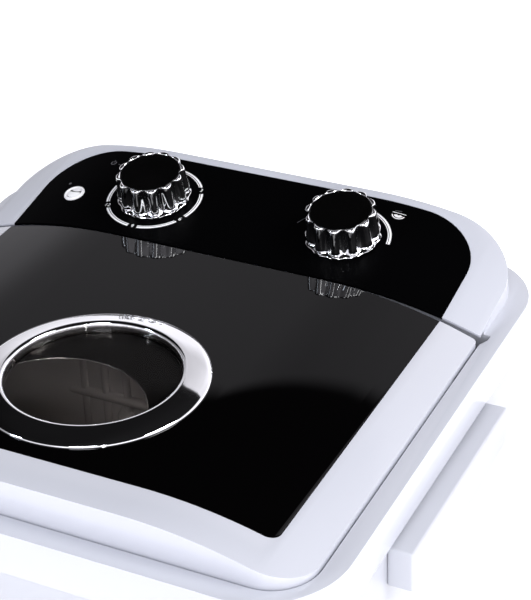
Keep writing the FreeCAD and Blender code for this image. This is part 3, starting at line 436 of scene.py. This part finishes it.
def knob_disc(name):
    """Black lacquered disc, very slightly dished, sunk inside the sleeve's rim."""
    section = [(r * MM, z * MM) for r, z in (
        (0.4, 21.1), (22.0, 21.1), (22.1, 22.8), (21.7, 23.2), (20.8, 23.25), (14, 23.05),
        (7, 22.95), (0.4, 22.92))]
    return smooth(turned(name, section, 96), 40)


# %% Two knobs from one
timer_sleeve = knob_sleeve("timer_sleeve")
timer_disc = knob_disc("timer_disc")
for source, name, slot, stands_for in (
        (timer_sleeve, "mode_sleeve", "chrome", "mode_knob"),
        (timer_disc, "mode_disc", "black_cap", "mode_knob_cap")):
    twin = source.copy()
    twin.data = source.data.copy()
    twin.name = name
    bpy.context.collection.objects.link(twin)
    settle(twin, MODE @ Matrix.Rotation(math.radians(TWIN_TURN), 4, "Z"))
    dress(twin, slot, "mode_dial", stands_for)
settle(timer_sleeve, TIMER)
dress(timer_sleeve, "chrome", "timer_dial", "timer_knob")
settle(timer_disc, TIMER)
dress(timer_disc, "black_cap", "timer_dial", "timer_knob_cap")
print("knob sleeve has", len(timer_sleeve.data.polygons), "faces")

# %% [markdown]
# ## Printed marks
# The print is a thin skin of paint.  It is drawn flat on the workbench, carried to the panel,
# dropped straight down on to the curved sheet, and given a little thickness.

# %% Print helpers
PRINT_LIFT = 1.5 * MM
PRINT_GAP = 0.04 * MM
PRINT_THICK = 0.06 * MM


def arc_print(name, inner, outer, kept):
    """Flat band between two radii, left only where `kept` allows its angle."""
    start_clean()
    bpy.ops.mesh.primitive_circle_add(vertices=360, radius=inner * MM)
    piece = bpy.context.object
    piece.name = name
    bpy.ops.object.mode_set(mode="EDIT")
    bpy.ops.mesh.select_all(action="SELECT")
    bpy.ops.mesh.extrude_edges_move()
    bpy.ops.transform.resize(value=(outer / inner, outer / inner, 1),
                             center_override=(0, 0, 0))
    bpy.ops.mesh.select_all(action="DESELECT")
    bpy.ops.mesh.select_mode(type="FACE")
    bpy.ops.object.mode_set(mode="OBJECT")
    for face in piece.data.polygons:
        angle = math.degrees(math.atan2(face.center.y, face.center.x))
        face.select = not kept(angle)
    bpy.ops.object.mode_set(mode="EDIT")
    bpy.ops.mesh.delete(type="FACE")
    bpy.ops.mesh.select_mode(type="VERT")
    bpy.ops.object.mode_set(mode="OBJECT")
    return piece


def number_print(text, x, y, height):
    """Flat figures centred at (x, y)."""
    start_clean()
    bpy.ops.object.text_add(location=(0, 0, 0))
    piece = bpy.context.object
    piece.data.body = text
    piece.data.size = height * 1.4 * MM
    piece.data.align_x = "CENTER"
    piece.data.align_y = "CENTER"
    bpy.ops.object.convert(target="MESH")
    piece = bpy.context.object
    return settle(piece, Matrix.Translation((x * MM, y * MM, 0)))


def bar_print(x, y, length, width, degrees):
    """Short printed line centred at (x, y)."""
    start_clean()
    bpy.ops.mesh.primitive_grid_add(x_subdivisions=8, y_subdivisions=1, size=1)
    piece = bpy.context.object
    spin = Matrix.Rotation(math.radians(degrees), 4, "Z")
    shape = Matrix.Diagonal((length * MM, width * MM, 1, 1))
    return settle(piece, Matrix.Translation((x * MM, y * MM, 0)) @ spin @ shape)


def lay_print(name, matrix, pieces, finish):
    """Join printed marks, drop them on to the panel and thicken them."""
    start_clean()
    for piece in pieces:
        piece.select_set(True)
    bpy.context.view_layer.objects.active = pieces[0]
    bpy.ops.object.join()
    print_piece = bpy.context.object
    print_piece.name = name
    settle(print_piece, matrix @ Matrix.Translation((0, 0, PRINT_LIFT)))
    modify(print_piece, "SHRINKWRAP", target=nodes["control_panel"], wrap_method="PROJECT",
           use_project_z=True, use_negative_direction=True, use_positive_direction=False,
           wrap_mode="ABOVE_SURFACE", offset=PRINT_GAP)
    outward(print_piece)
    modify(print_piece, "SOLIDIFY", thickness=PRINT_THICK, offset=0)
    return dress(print_piece, "white_gloss", "machine", finish=finish)


# %% Dial scales
SCALE_RADIUS = 35.5
DEGREES_PER_MINUTE = 20
MINUTES = range(0, 16, 3)
HALF_GAP = 6.5
FIGURE_HEIGHT = 3.4
MODE_ARC = (5, 112)


def on_scale(angle):
    """True where the timer's ring is printed: clockwise from 0 to 15, open at each number."""
    clockwise = (90 - angle) % 360
    if clockwise > DEGREES_PER_MINUTE * MINUTES[-1]:
        return False
    return all(abs(clockwise - DEGREES_PER_MINUTE * minute) > HALF_GAP for minute in MINUTES)


def on_mode_arc(angle):
    return MODE_ARC[0] < angle < MODE_ARC[1]


timer_marks = [arc_print("timer_band", SCALE_RADIUS - 0.3, SCALE_RADIUS + 1.2, on_scale),
               arc_print("timer_hairline", SCALE_RADIUS - 1.5, SCALE_RADIUS - 0.8, on_scale)]
for minute in MINUTES:
    turn = math.radians(90 - DEGREES_PER_MINUTE * minute)
    timer_marks.append(number_print(str(minute), SCALE_RADIUS * math.cos(turn),
                                    SCALE_RADIUS * math.sin(turn), FIGURE_HEIGHT))
lay_print("timer_scale", TIMER, timer_marks, "bright_white")

mode_marks = [arc_print("mode_band", 33.2, 34.7, on_mode_arc),
              arc_print("mode_hairline", 32.0, 32.7, on_mode_arc)]
lay_print("mode_scale", MODE, mode_marks, "bright_white")
print("dial scales laid on the panel")

# %% [markdown]
# Smaller marks stand round the dials: a faint power sign with its leader, a bright wash-bowl
# sign, and the mode dial's faint leader with a pip by the water inlet.

# %% Small signs
def sign_spot(x, y):
    return Matrix.Translation((x * MM, y * MM, 0))


off_sign = arc_print("off_ring", 1.6, 2.3, lambda angle: abs(angle - 90) > 40)
settle(off_sign, sign_spot(-53.4, 32.9))
timer_signs = [off_sign, bar_print(-53.4, 34.9, 2.2, 0.6, 90), bar_print(-42, 29, 14, 0.3, -22)]
lay_print("timer_signs", TIMER, timer_signs, "grey_print")

bowl = arc_print("bowl_arc", 4.4, 5.2, lambda angle: -165 < angle < -15)
settle(bowl, sign_spot(28.5, 36))
filling = arc_print("bowl_filling", 1.2, 3.6, lambda angle: -160 < angle < -20)
settle(filling, sign_spot(28.5, 36))
mode_signs = [bowl, filling, bar_print(28.5, 37.3, 10.5, 0.5, 0)]
lay_print("mode_signs", MODE, mode_signs, "bright_white")
pip = arc_print("pip", 0.2, 1.1, lambda angle: True)
settle(pip, sign_spot(-231, 5))
leader = [pip, bar_print(-36.2, 8, 8.5, 0.3, 62), bar_print(27, 39.5, 5, 0.5, 10)]
lay_print("mode_leader", MODE, leader, "grey_print")
print("signs laid on the panel")

# %% [markdown]
# ## Water inlet
# The port is a low white mouth pressed into the panel.  A thin domed flap lies in it, over a black disc of painted
# shade that shows through one curved slit, where the port's mouth lies in shadow.

# %% Water inlet
inlet_mount = next(mount for mount in frame["record"]["mounts"] if mount["name"] == "water_inlet")
lean = Vector(inlet_mount["axis"]).normalized()
if lean.z < 0:
    lean = -lean
side = Vector((0, 1, 0)).cross(lean).normalized()
ahead = lean.cross(side)
panel_spot = Vector(inlet_mount["pos_m"]) + lean * 8 * MM
INLET = Matrix.Translation(panel_spot) @ Matrix((side, ahead, lean)).transposed().to_4x4()
mouth_section = [(r * MM, z * MM) for r, z in (
    (5.6, -17.8), (6.9, -17.8), (6.9, 0.1), (8.1, 0.1), (8.2, 0.7), (8.0, 1.4), (7.5, 1.9),
    (6.9, 2.1), (6.3, 1.9), (5.8, 1.3), (5.6, 0.4))]
mouth = turned("inlet_mouth", mouth_section, 72)
smooth(settle(mouth, INLET), 50)
dress(mouth, "white_gloss", "machine", "inlet_funnel", finish="bright_white")

# %% Flap with a curved slit, and the black disc of painted shade under it
flap_section = [(r * MM, z * MM) for r, z in (
    (0.2, 1.4), (5.5, 1.4), (5.5, 1.6), (4.8, 2.0), (3.4, 2.4), (1.8, 2.65), (0.2, 2.7))]
flap = turned("inlet_flap", flap_section, 64)
start_clean()
bpy.ops.mesh.primitive_torus_add(major_radius=9 * MM, minor_radius=1.2 * MM,
                                 major_segments=96, minor_segments=12,
                                 location=(1.5 * MM, 9.4 * MM, 2.4 * MM))
slit = bpy.context.object
slit.scale.z = 1.7
modify(flap, "BOOLEAN", operation="DIFFERENCE", solver="EXACT", object=slit)
bpy.data.objects.remove(slit)
smooth(settle(flap, INLET), 40)
dress(flap, "white_gloss", "machine", finish="bright_white")

# Painted shade: this black disc under the flap darkens the slit, where the port's mouth is only in shadow.
slit_shade_section = [(r * MM, z * MM) for r, z in (
    (0.2, -0.6), (5.5, -0.6), (5.5, 1.3), (0.2, 1.3))]
slit_shade_disc = turned("inlet_slit_shade", slit_shade_section, 64)
smooth(settle(slit_shade_disc, INLET), 40)
dress(slit_shade_disc, "foot_rubber", "machine")
print("flap has", len(flap.data.polygons), "faces")

# %% [markdown]
# ## Ribs of the tub
# The tub's walls are stiffened by upright ribs.  The window shows the top of the back wall, so
# its ribs are carried up there, with one long bead across them.

# %% Ribs under the window
FLANGE_WIDTH = 12 * MM
RIB_COUNT = 9
RIB_PITCH = 18 * MM
RIB_RADIUS = 3.2 * MM
RIB_FOOT, RIB_HEAD = 540 * MM, 644 * MM
CROSS_RADIUS = 4.5 * MM
CROSS_LEVEL = 588 * MM
RIBS_MIDDLE = -36 * MM
tub_low, tub_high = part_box("wash_tub")
back_wall = tub_high.y - FLANGE_WIDTH
start_clean()
bpy.ops.mesh.primitive_cylinder_add(
    vertices=32, radius=CROSS_RADIUS, depth=(RIB_COUNT - 1) * RIB_PITCH + 32 * MM,
    location=(RIBS_MIDDLE, back_wall, CROSS_LEVEL), rotation=(0, math.radians(90), 0))
tub_ribs = bpy.context.object
tub_ribs.name = "tub_ribs"
rods = [tub_ribs]
for number in range(RIB_COUNT):
    reach = (number - (RIB_COUNT - 1) / 2) * RIB_PITCH
    start_clean()
    bpy.ops.mesh.primitive_cylinder_add(
        vertices=32, radius=RIB_RADIUS, depth=RIB_HEAD - RIB_FOOT,
        location=(RIBS_MIDDLE + reach, back_wall, (RIB_FOOT + RIB_HEAD) / 2))
    rods.append(bpy.context.object)
start_clean()
for rod in rods:
    rod.select_set(True)
bpy.context.view_layer.objects.active = tub_ribs
bpy.ops.object.join()
settle(tub_ribs)
modify(tub_ribs, "BEVEL", width=1.2 * MM, segments=3, limit_method="ANGLE",
       angle_limit=math.radians(40))
smooth(tub_ribs, 40)
dress(tub_ribs, "tub_plastic", "machine")
print("ribs have", len(tub_ribs.data.polygons), "faces")

# %% [markdown]
# ## Soft mouldings
# Moulded parts have no sharp edges.  A copy of each outer part is cleaned of its triangles and
# its edges are rounded, which never takes it outside its first shape.

# %% Rounded copies of the outer mouldings
def cleaned(name, source):
    """Copy of a node with its seams merged and its flat triangles dissolved."""
    piece = bpy.data.objects.new(name, nodes[source].data.copy())
    bpy.context.collection.objects.link(piece)
    only(piece)
    bpy.ops.object.mode_set(mode="EDIT")
    bpy.ops.mesh.select_all(action="SELECT")
    bpy.ops.mesh.remove_doubles(threshold=0.00001)
    bpy.ops.mesh.dissolve_limited(angle_limit=math.radians(0.5))
    bpy.ops.object.mode_set(mode="OBJECT")
    return piece


def softened(name, source, width, body, segments=3):
    """Cleaned copy with edges rounded to `width` mm; it stands for the node."""
    piece = cleaned(name, source)
    modify(piece, "BEVEL", width=width * MM, segments=segments, limit_method="ANGLE",
           angle_limit=math.radians(40), use_clamp_overlap=True)
    smooth(piece, 35)
    dress(piece, SLOT_OF[source], body, source)
    print(name, len(piece.data.polygons), "faces")


softened("soft_lid_frame", "lid_frame", 1.2, "lid")
softened("soft_top_frame", "top_frame", 1.6, "machine")
softened("soft_side_grips", "side_grips", 2.0, "machine", 4)
softened("soft_base_tray", "base_tray", 1.5, "machine")

# %% [markdown]
# The lid's black sheet keeps its edges, because it must mirror like glass.  Its normals are
# weighted by the size of the faces, so the broad flat part reflects without a ripple.

# %% The mirror of the lid
lid_mirror = cleaned("lid_mirror", "lid_panel")
smooth(lid_mirror, 35)
dress(lid_mirror, "black_lid", "lid", "lid_panel")
modify(lid_mirror, "WEIGHTED_NORMAL", weight=100, keep_sharp=True)
print("lid mirror has", len(lid_mirror.data.polygons), "faces")

# %% [markdown]
# ## Stage, light and camera
# White plastic wants broad, soft light and black lacquer wants something simple to mirror.  One
# large lamp to the right does the shading, a smaller one fills in from the front, two thin
# strips put streaks on the chrome, and the floor glows, like the sweep of a light table.

# %% Floor and lights
start_clean()
bpy.ops.mesh.primitive_plane_add(size=24, location=(0, 0, 0))
floor = bpy.context.object
floor.name = "pale_floor"
floor.data.materials.append(finish_of("floor_paint", (0.92, 0.92, 0.93), (0.90, 0.90, 0.92),
                                      (0.7, 0.8), (3, 0.5), (60, 0.02),
                                      Emission_Strength=0.6))


def softbox(name, spot, aim, size, power, colour=(1, 1, 1)):
    start_clean()
    bpy.ops.object.light_add(type="AREA", location=spot)
    lamp = bpy.context.object
    lamp.name = name
    lamp.data.shape = "RECTANGLE"
    lamp.data.size, lamp.data.size_y = size
    lamp.data.energy = power
    lamp.data.color = colour
    toward = Vector(aim) - Vector(spot)
    lamp.rotation_euler = toward.to_track_quat("-Z", "Y").to_euler()
    return lamp


softbox("right_key", (4.4, 0.9, 4.9), (0, 0, 0.6), (2.4, 2.4), 205)
softbox("front_fill", (0.7, -2.6, 3.2), (0, 0, 0.6), (1.2, 1.2), 45, (0.96, 0.97, 1.0))
softbox("front_strip", (1.5, -2.1, 1.9), (0, 0.1, 0.7), (0.12, 1.3), 20)
softbox("left_strip", (-1.9, -1.7, 2.0), (0, 0.1, 0.7), (0.12, 1.3), 14, (0.80, 0.88, 1.0))

# %% [markdown]
# The lacquer mirrors a pale card behind the machine.  The lid bends down at its sides, so the
# card's edge is an arch on the right and level on the left: the reflection then ends in one
# quiet line.  Below the edge the sky is bright, and brighter to the right; above it, nearly black.

# %% The sky: a pale card under a dark ceiling
ARCH_TOP = 0.658
ARCH_DROP = 0.657
ARCH_CENTRE = -0.03
LEVEL_TOP = 0.592
LEVEL_SLOPE = 0.062
world = bpy.data.worlds.new("studio")
bpy.context.scene.world = world
world.use_nodes = True
sky = world.node_tree


def sky_math(operation, first, second):
    """Math node of the sky; each input is a number or another node's output."""
    step = sky.nodes.new("ShaderNodeMath")
    step.operation = operation
    for socket, source in zip(step.inputs, (first, second)):
        if isinstance(source, (int, float)):
            socket.default_value = source
        else:
            sky.links.new(source, socket)
    return step.outputs[0]


direction = sky.nodes.new("ShaderNodeTexCoord")
split = sky.nodes.new("ShaderNodeSeparateXYZ")
sky.links.new(direction.outputs["Generated"], split.inputs[0])
off_centre = sky_math("SUBTRACT", split.outputs["X"], ARCH_CENTRE)
drop = sky_math("MULTIPLY", sky_math("POWER", off_centre, 2.0), ARCH_DROP)
level = sky_math("ADD", sky_math("MULTIPLY", split.outputs["X"], LEVEL_SLOPE), LEVEL_TOP)
card_edge = sky_math("MAXIMUM", sky_math("SUBTRACT", ARCH_TOP, drop), level)
below_edge = sky_math("SUBTRACT", card_edge, split.outputs["Z"])
clouds = sky.nodes.new("ShaderNodeTexNoise")
clouds.inputs["Scale"].default_value = 3.5
clouds.inputs["Detail"].default_value = 2
sky.links.new(direction.outputs["Generated"], clouds.inputs["Vector"])
mottle = sky_math("ADD", sky_math("MULTIPLY", clouds.outputs["Fac"], 0.5), 0.75)


def sky_ramp(source, start, end, low, high):
    """Smooth step of the sky from one brightness to another."""
    ramp = sky.nodes.new("ShaderNodeMapRange")
    ramp.interpolation_type = "SMOOTHSTEP"
    sky.links.new(source, ramp.inputs["Value"])
    for socket, number in zip(("From Min", "From Max", "To Min", "To Max"),
                              (start, end, low, high)):
        ramp.inputs[socket].default_value = number
    return ramp.outputs["Result"]


from_left = sky_ramp(split.outputs["X"], -1.0, -0.45, 0.25, 1.0)
to_right = sky_ramp(split.outputs["X"], -0.25, 0.05, 1.0, 1.5)
card = sky_ramp(below_edge, -0.002, 0.008, 0.008, 0.70)
near_horizon = sky_ramp(split.outputs["Z"], 0.30, 0.46, 1.6, 1.0)
glow = sky_math("MULTIPLY", sky_math("MULTIPLY", mottle, near_horizon),
                sky_math("MULTIPLY", from_left, to_right))
backdrop = sky.nodes["Background"]
backdrop.inputs["Color"].default_value = (0.96, 0.94, 1.0, 1)
sky.links.new(sky_math("MULTIPLY", card, glow), backdrop.inputs["Strength"])
bpy.context.scene.view_settings.view_transform = "Standard"

# %% [markdown]
# The camera stands to the front right of the machine, above it, and looks down on its top.

# %% Camera
YAW, PITCH, ROLL = -0.474, 0.547, -0.041
camera_spot = Vector((0.5525, -0.9031, 1.3625))
forward = Vector((math.sin(YAW) * math.cos(PITCH), math.cos(YAW) * math.cos(PITCH),
                  -math.sin(PITCH)))
level_right = Vector((math.cos(YAW), -math.sin(YAW), 0))
level_up = level_right.cross(forward)
right = math.cos(ROLL) * level_right + math.sin(ROLL) * level_up
up = math.cos(ROLL) * level_up - math.sin(ROLL) * level_right
start_clean()
bpy.ops.object.camera_add(location=camera_spot)
camera = bpy.context.object
camera.matrix_world = Matrix.Translation(camera_spot) @ Matrix(
    (right, up, -forward)).transposed().to_4x4()
camera.data.lens = 110.7
camera.data.shift_y = -0.0133
camera.data.dof.use_dof = False
bpy.context.scene.camera = camera
print("camera looks along", [round(part, 3) for part in forward])
